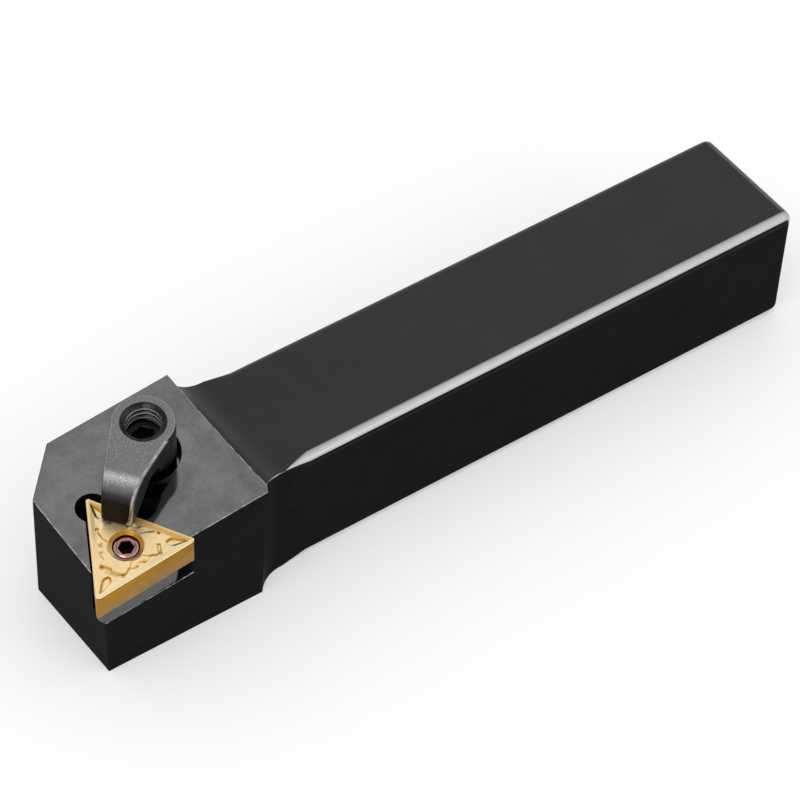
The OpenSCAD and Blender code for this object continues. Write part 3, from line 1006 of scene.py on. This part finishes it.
@dataclass
class Insert:
    """The coated triangular insert with its moulded chip breaker."""

    r_in: float = PLACES.insert_r
    thick: float = 4.76
    nose_r: float = 0.4
    hole_r: float = 1.905
    dish_r: float = 2.47
    land: float = 0.1
    groove_end: float = 1.1
    wall: float = 1.35
    scallop: float = 0.2
    pitch: float = 1.75
    plateau_end: float = 4.6
    hone: float = 0.11
    edge_cuts: int = 110
    ring_cuts: int = 70
    arc_steps: int = 8
    rib_at: float = 6.3
    rib_reach: Pair = (0.95, 2.3)
    rib_w: float = 0.72
    pad_line: tuple[Pair, Pair] = ((1.915, 1.607), (4.232, 2.156))
    bar_at: Pair = (4.36, -0.85)
    bar_half: Pair = (0.37, 0.74)
    dot_at: Pair = (4.44, 1.62)
    dot_r: float = 0.24
    knob_at: Pair = (2.2, 2.66)
    knob_r: float = 0.3

    def outline(self) -> list[Point]:
        """Returns the corner points of the rounded triangle, each nose as an arc."""
        points: list[Point] = []
        reach = 2 * (self.r_in - self.nose_r)
        for a in (90, 210, 330):
            centre = (reach * math.cos(math.radians(a)), reach * math.sin(math.radians(a)))
            points += arc(centre, self.nose_r, a - 60, a + 60, self.arc_steps)
        return points

    @staticmethod
    def _corner(x: float, y: float) -> Pair:
        """Returns a point's place along the line to the nearest corner, and across it."""
        angle = math.degrees(math.atan2(y, x)) - 90
        corner = math.radians(120 * round(angle / 120) + 90)
        along = x * math.cos(corner) + y * math.sin(corner)
        return along, y * math.cos(corner) - x * math.sin(corner)

    def weights(self, x: float, y: float) -> dict[Feature, float]:
        """Says how much of each feature a point of the face has.

        Args:
            x: Place along the face's first direction.
            y: Place along its second.

        Returns:
            Each feature's share, from 0 to 1.
        """
        a, b = self._corner(x, y)
        half, root = 0.5, math.sqrt(3) / 2
        inside = self.r_in - (a * half + abs(b) * root)
        along = a * root - abs(b) * half
        wall = self.wall + self.scallop * math.cos(2 * math.pi * along / self.pitch)
        plateau = ramp(inside, wall - 0.22, wall + 0.22) * ramp(self.plateau_end - a, -0.5, 0.5)
        inner, outer = self.rib_reach
        if a < self.rib_at:
            width = self.rib_w * math.sqrt(max(0.0, 1 - ((self.rib_at - a) / inner) ** 2))
        else:
            width = self.rib_w * max(0.0, 1 - (a - self.rib_at) / outer) ** 0.85
        rib = ramp(width - abs(b), -0.02, 0.42) if width > 0 else 0.0
        spot = Vector((a, abs(b)))
        start, end = Vector(self.pad_line[0]), Vector(self.pad_line[1])
        side = (spot - start).cross(end - start) / (end - start).length
        outside = ramp(math.hypot(x, y), self.dish_r, self.dish_r + 0.15)
        pad = ramp(-side, 0.0, 0.12) * outside * plateau
        bar = ramp(self.bar_half[0] - abs(a - self.bar_at[0]), 0, 0.34)
        bar *= ramp(self.bar_half[1] - abs(b - self.bar_at[1]), 0, 0.2)
        dot = ramp(self.dot_r - (spot - Vector(self.dot_at)).length, 0, 0.12)
        knob = ramp(self.knob_r - (spot - Vector(self.knob_at)).length, 0, 0.2)
        dish = (self.dish_r - math.hypot(x, y)) / (self.dish_r - self.hole_r)
        return {
            Feature.DISH: min(1.0, max(0.0, dish)),
            Feature.GROOVE: ramp(inside, self.land, self.groove_end) * (1 - plateau),
            Feature.RIB: rib,
            Feature.SIDE_PAD: pad,
            Feature.BAR: bar,
            Feature.DOT: dot,
            Feature.KNOB: knob,
        }

    def build(self) -> bpy.types.Object:
        """Builds and dresses the insert, and returns the finished piece."""
        work = Work.chain("insert_body", self.outline())
        with work.edit():
            work.pick(Kind.EDGE)
            mesh = bmesh.from_edit_mesh(work.obj.data)
            for edge in mesh.edges:
                edge.select_set(edge.calc_length() > 1)
            bpy.ops.mesh.subdivide(number_cuts=self.edge_cuts)
        count = len(work.obj.data.vertices)
        with work.edit():
            bpy.ops.mesh.select_all(action="DESELECT")
            bpy.ops.mesh.primitive_circle_add(vertices=count, radius=self.hole_r)
            work.pick(Kind.EDGE)
            bpy.ops.mesh.bridge_edge_loops(number_cuts=self.ring_cuts, interpolation="LINEAR")
            work.pick(Kind.FACE)
            bpy.ops.mesh.normals_make_consistent(inside=False)
        if work.obj.data.polygons[0].normal.z < 0:
            with work.edit():
                bpy.ops.mesh.flip_normals()
        self._relief(work)
        middle = -self.thick / 2
        with work.edit():
            work.pick(Kind.EDGE)
            bpy.ops.mesh.region_to_loop()
            bpy.ops.mesh.extrude_edges_move(TRANSFORM_OT_translate={"value": (0, 0, middle)})
            bpy.ops.transform.resize(value=(1, 1, 0), center_override=(0, 0, middle))
        self._hone(work)
        self._mirror(work)
        dress(work, [GOLD_LIGHT_AND_SHADE, GOLD_FLANK_SHADE, GOLD_EDGE_HIGHLIGHT])
        # Painted shade on the flanks.
        work.paint(1, lambda c, n: abs(n.z) < 0.2 and c.xy.length > 3)
        # Painted highlight on the honed edge.
        work.paint(2, lambda c, n: 0.2 < abs(n.z) < 0.999 and self._inside(c) < self.hone)
        return settle(work.place(PLACES.insert(), 50), "holder", "insert")

    def _inside(self, c: Vector) -> float:
        """Returns how far a point lies inside the triangle's sides or noses."""
        a, b = self._corner(c.x, c.y)
        reach = 2 * (self.r_in - self.nose_r)
        if a - reach > abs(b) / math.sqrt(3):
            return self.nose_r - math.hypot(a - reach, b)
        return self.r_in - (a * 0.5 + abs(b) * math.sqrt(3) / 2)

    def _relief(self, work: Work) -> None:
        """Raises and sinks the moulded features of the flat face."""
        shares = [self.weights(v.co.x, v.co.y) for v in work.obj.data.vertices]
        for feature in Feature:
            group = work.obj.vertex_groups.new(name=feature.name.lower())
            for i, share in enumerate(shares):
                if share[feature] > 0:
                    group.add([i], share[feature], "REPLACE")
            work.modify("DISPLACE", direction="Z", mid_level=0.0, strength=feature.value,
                        vertex_group=group.name)

    def _hone(self, work: Work) -> None:
        """Rounds the cutting edge of the upper half."""
        with work.edit():
            work.pick(Kind.EDGE, lambda c, d: c.z > -0.02 and abs(self._inside(c)) < 0.002
                      and abs(d.z) < 0.5)
            bpy.ops.mesh.bevel(offset=self.hone, segments=2, profile=0.5)

    def _mirror(self, work: Work) -> None:
        """Adds the lower half, which is the same as the upper one."""
        Work.clear()
        empty = bpy.data.objects.new("middle", None)
        bpy.context.scene.collection.objects.link(empty)
        empty.location = (0, 0, -self.thick / 2)
        bpy.context.view_layer.update()
        work.modify("MIRROR", use_axis=(False, False, True), mirror_object=empty,
                    use_mirror_merge=True, merge_threshold=MERGE)
        bpy.data.objects.remove(empty)
        work.tidy()


def coil(name: str, root: float, crest: float, pitch: float, low: float, turns: int,
         left: bool) -> Work:
    """Builds a closed helical ridge, the part of a thread that stands out of its core.

    Args:
        name: Name of the piece.
        root: Radius of the core.
        crest: Radius of the ridge's crest.
        pitch: Rise for each turn.
        low: Height at which the ridge starts.
        turns: Number of turns.
        left: Whether the thread is left-handed.

    Returns:
        The ridge, which reaches a little into the core.
    """
    inner = root - 0.1
    foot, tip = 0.41 * pitch, 0.07 * pitch
    profile = [(inner, 0, low - foot), (crest, 0, low - tip), (crest, 0, low + tip),
               (inner, 0, low + foot)]
    work = Work.chain(name, profile)
    sense = -1 if left else 1
    work.modify("SCREW", angle=sense * 2 * math.pi, screw_offset=pitch, iterations=turns,
                steps=56, render_steps=56, use_smooth_shade=False)
    with work.edit():
        bpy.ops.mesh.fill_holes(sides=8)
        bpy.ops.transform.rotate(value=0.13, orient_axis="Z", center_override=(0, 0, 0))
    work.tidy()
    return work


@dataclass
class Clamp:
    """The clamp: a round boss, an arm with a knee and a nose, and a tapped hole."""

    boss_r: float = 4.4
    low: float = -2.8
    top: float = 6.8
    arm_l: float = 12.4
    start_r: float = 4.34
    right_w: float = 1.95
    left_w: float = 2.25
    knee_r: float = 4.0
    nose_slope: float = 78.0
    arch: Point = (6.0, 2.3, 1.9)
    heel_slope: float = 43.0
    hole_r: float = 3.0
    minor_r: float = 2.48
    major_r: float = 3.03
    pitch: float = 1.0
    thread_low: float = 3.5
    mouth_r: float = 3.25
    mouth: float = 0.32
    rim: float = 0.2
    right_bevel: float = 0.42
    left_bevel: float = 0.24

    def plan(self) -> list[Point]:
        """Returns the arm's outline from above, with small rounds at the nose."""
        def start(half_w: float, sign: int) -> Pair:
            turn = math.atan(half_w / self.arm_l) + math.acos(
                self.start_r / math.hypot(self.arm_l, half_w))
            return self.start_r * math.cos(turn), sign * self.start_r * math.sin(turn)

        tip, left, right = self.arm_l, self.left_w, self.right_w
        corners = [
            start(left, -1), (tip - 0.35, -left - 0.06), (tip - 0.1, -left + 0.12),
            (tip, -left + 0.4), (tip, right - 0.25), (tip - 0.12, right - 0.06),
            (tip - 0.35, right + 0.06), start(right, 1),
        ]
        return [(x, y, -4) for x, y in corners]

    def knee(self) -> tuple[float, float, float]:
        """Returns the knee's centre, as a length and a height, and the nose's slope."""
        height = self.top - self.knee_r
        slope = math.radians(self.nose_slope)
        foot = height + self.knee_r * math.cos(slope)
        return self.arm_l - self.knee_r * math.sin(slope) - foot / math.tan(slope), height, slope

    def side(self) -> list[Point]:
        """Returns the arm's outline from the side, as points in the local XZ plane."""
        knee = arc(self.knee()[:2], self.knee_r, 90, 90 - self.nose_slope, 14)
        u, h, r = self.arch
        heel = math.radians(self.heel_slope)
        under = arc((u, h), r, 90 - self.heel_slope, 180, 16)
        touch = under[0]
        heel_u = touch[0] + touch[1] / math.tan(heel)
        outline = [(0.0, h, 0.0), (0.0, self.top, 0.0), *knee, (self.arm_l, 0.25, 0.0),
                   (self.arm_l - 0.2, 0.0, 0.0), (heel_u, 0.0, 0.0), *under]
        return [(x, -6.0, z) for x, z, _ in outline]

    def build(self) -> bpy.types.Object:
        """Builds and dresses the clamp, and returns the finished piece."""
        # The body's finish paints light and shade by facing; the others paint a highlight on the
        # right chamfer, shade in the hole and highlights on the crests.
        finishes = [BLASTED_LIGHT_AND_SHADE, CHAMFER_HIGHLIGHT, THREAD_SHADE, CREST_HIGHLIGHT]
        arm = Work.prism("clamp_body", self.plan(), (0, 0, 12))
        arm.combine(Work.prism("side", self.side(), (0, 12, 0)), "INTERSECT")
        dress(arm, finishes)
        self._break_edges(arm)
        boss = Work.cylinder("boss", self.boss_r, self.low, self.top, 128)
        dress(boss, finishes)
        boss.bevel_rim(lambda c, n: abs(n.z) > FACING, self.rim, 3)
        arm.combine(boss, "UNION")
        arm.combine(Work.cylinder("bore", self.hole_r, self.low - 1, self.thread_low))
        tap = Work.cylinder("tap", self.minor_r, self.thread_low - 1, self.top + 1)
        tap.combine(
            coil("cut", self.minor_r, self.major_r, self.pitch, self.thread_low - 0.2, 4, True),
            "UNION",
        )
        arm.combine(tap)
        below, above = 0.17, 0.2
        slope = (self.mouth_r - self.minor_r) / self.mouth
        arm.combine(Work.cylinder(
            "mouth", self.minor_r - below * slope, self.top - self.mouth - below,
            self.top + above, top=self.mouth_r + above * slope,
        ))
        arm.merge_flats(0.1)
        arm.tidy()
        reach = self.mouth_r + 0.1
        # Painted shade inside the tapped hole.
        arm.paint(2, lambda c, n: c.xy.length < reach and n.xy.dot(c.xy) < -0.05)
        # Painted highlight on the thread's crests.
        arm.paint(3, lambda c, n: abs(c.xy.length - self.minor_r) < 0.02
                  and n.xy.dot(c.xy) < -0.05)
        return settle(arm.place(PLACES.clamp(), 32), "clamp", "clamp")

    def _break_edges(self, arm: Work) -> None:
        """Bevels the arm: widely along the right of its top and nose, with a painted highlight
        there, less along the left.
        """
        for side, width, slot in ((1, self.right_bevel, 1), (-1, self.left_bevel, 0)):
            with arm.edit():
                arm.pick(Kind.EDGE, lambda c, d: c.y * side > 1.5 and c.z > 0.5
                         and abs(d.y) < 0.6 and (c.z > self.top - 0.01 or self._on_top(c)))
                bpy.ops.mesh.bevel(offset=width, segments=2, profile=0.5, material=slot)
            arm.tidy()

    def _on_top(self, c: Vector) -> bool:
        """Says whether a point lies on the knee or on the nose's front."""
        knee_u, knee_h, slope = self.knee()
        on_knee = abs(math.hypot(c.x - knee_u, c.z - knee_h) - self.knee_r) < 0.03
        on_nose = abs(c.x - (self.arm_l - c.z / math.tan(slope))) < 0.1
        return on_knee or on_nose


@dataclass
class ClampScrew:
    """The double ended screw, left-handed at its top and right-handed below."""

    crest: float = 2.95
    root: float = 2.42
    top: float = 3.4
    end: float = -16.1
    neck: Pair = (-2.4, -1.5)
    pitch: float = 1.0
    bevel: float = 0.6
    hex_w: float = 3.0
    hex_depth: float = 3.0

    def build(self) -> bpy.types.Object:
        """Builds and dresses the screw, and returns the finished piece."""
        work = Work.cylinder("clamp_screw_body", self.root, self.end - 1, self.top + 1)
        low_neck, high_neck = self.neck
        for name, low, length, left in (
            ("upper", high_neck + 0.5, self.top - high_neck, True),
            ("lower", self.end - 0.3, low_neck - self.end, False),
        ):
            turns = round(length / self.pitch)
            ridge = coil(name, self.root, self.crest + 0.04, self.pitch, low, turns, left)
            work.combine(ridge, "UNION")
        blank = Work.cylinder("blank", self.crest, self.end, self.top)
        blank.bevel_rim(lambda c, n: abs(n.z) > FACING, self.bevel, 1)
        work.combine(blank, "INTERSECT")
        work.combine(hex_cutter(self.hex_w, self.top - self.hex_depth, self.top + 1))
        socket_r, lead = self.hex_w / math.sqrt(3), 0.25
        work.combine(Work.cylinder("lead_in", socket_r - lead, self.top - lead, self.top + lead,
                                   48, socket_r + lead))
        dress(work, [SCREW_BLACK])
        obj = work.place(PLACES.clamp(), 32)
        return settle(obj, "clamp_screw", "clamp_screw")


# Stage, lights and camera


@dataclass(frozen=True)
class Softbox:
    """A square lamp that faces the tool's head."""

    name: str
    towards: Point
    distance: float
    size: float
    radiance: float

    def build(self, target: Vector) -> None:
        """Adds the lamp, which faces the target."""
        data = bpy.data.lights.new(self.name, "AREA")
        data.shape = "SQUARE"
        data.size = self.size
        data.energy = self.radiance * math.pi * self.size**2
        lamp = bpy.data.objects.new(self.name, data)
        bpy.context.scene.collection.objects.link(lamp)
        back = Vector(self.towards).normalized()
        lamp.location = target + back * self.distance
        lamp.rotation_euler = back.to_track_quat("Z", "Y").to_euler()


@dataclass
class Studio:
    """The pale floor, the soft light and the camera at the photograph's angle."""

    target: Point = (-0.060, -0.003, 0.020)
    floor_size: float = 6.0
    eye: Point = (-0.280473, -0.318236, 0.449836)
    right: Point = (0.804411, -0.591811, 0.051791)
    down: Point = (-0.404859, -0.609917, -0.681242)
    forward: Point = (0.434755, 0.527031, -0.730224)
    lens: float = 190.639
    ambient: float = 0.72
    floor_glow: float = 0.36
    softboxes: list[Softbox] = field(default_factory=lambda: [
        Softbox("knee_box", (-0.46, -0.15, 0.87), 1.0, 0.34, 2.6),
        Softbox("front_box", (0.37, -0.75, 0.55), 1.0, 0.30, 1.6),
    ])

    def build(self) -> None:
        """Sets the whole stage."""
        scene = bpy.context.scene
        scene.view_settings.view_transform = "Standard"
        self._world()
        self._floor()
        for box in self.softboxes:
            box.build(Vector(self.target))
        self._camera()

    @staticmethod
    def _seen(g: Graph) -> bpy.types.NodeSocket:
        """Returns a factor that is 1 for camera, glossy and transmission rays."""
        path = g.add("ShaderNodeLightPath")
        seen = g.sum("ADD", path.outputs["Is Camera Ray"], path.outputs["Is Glossy Ray"])
        seen = g.sum("ADD", seen, path.outputs["Is Transmission Ray"])
        return g.sum("MINIMUM", seen, 1.0)

    def _world(self) -> None:
        """Makes a white background that lights the tool at a plain level."""
        world = bpy.data.worlds.new("studio_world")
        bpy.context.scene.world = world
        world.use_nodes = True
        g = Graph.of(world)
        strength = g.spread(self._seen(g), 0.0, 1.0, self.ambient, 1.0)
        back = g.add("ShaderNodeBackground", Color=(1, 1, 1), Strength=strength)
        g.add("ShaderNodeOutputWorld", Surface=back.outputs[0])

    def _floor(self) -> None:
        """Lays the pale floor just under the tool."""
        Work.clear()
        bpy.ops.mesh.primitive_plane_add(size=self.floor_size, location=(0, 0, -0.00005))
        floor = bpy.context.object
        floor.name = "floor"
        material = bpy.data.materials.new("pale_floor")
        g = Graph.of(material)
        tone = g.group(Groups.drift(), Scale=8.0, Contrast=1.0)["Tone"]
        plain = g.add("ShaderNodeBsdfDiffuse", Color=g.mix(tone, grey(0.80), grey(0.83)))
        glow = g.add("ShaderNodeEmission", Color=grey(1),
                     Strength=g.sum("MULTIPLY", self._seen(g), self.floor_glow))
        both = g.add("ShaderNodeAddShader", plain.outputs[0], glow.outputs[0])
        g.add("ShaderNodeOutputMaterial", Surface=both.outputs[0])
        floor.data.materials.append(material)

    def _camera(self) -> None:
        """Sets the camera at the photograph's place."""
        data = bpy.data.cameras.new("camera")
        data.lens = self.lens
        data.sensor_width = 36
        data.clip_start, data.clip_end = 0.01, 20
        camera = bpy.data.objects.new("camera", data)
        bpy.context.scene.collection.objects.link(camera)
        columns = (Vector(self.right), -Vector(self.down), -Vector(self.forward))
        turn = Matrix(columns).transposed().to_4x4()
        camera.matrix_world = Matrix.Translation(Vector(self.eye)) @ turn
        bpy.context.scene.camera = camera


def main() -> None:
    """Builds the pieces in order, then the stage."""
    logging.basicConfig(level=logging.INFO, format="%(name)s: %(message)s")
    for part in (Holder(), Shim(), ShimPin(), Insert(), Clamp(), ClampScrew()):
        part.build()
    Studio().build()
    Work.clear()


if __name__ == "__main__":
    main()
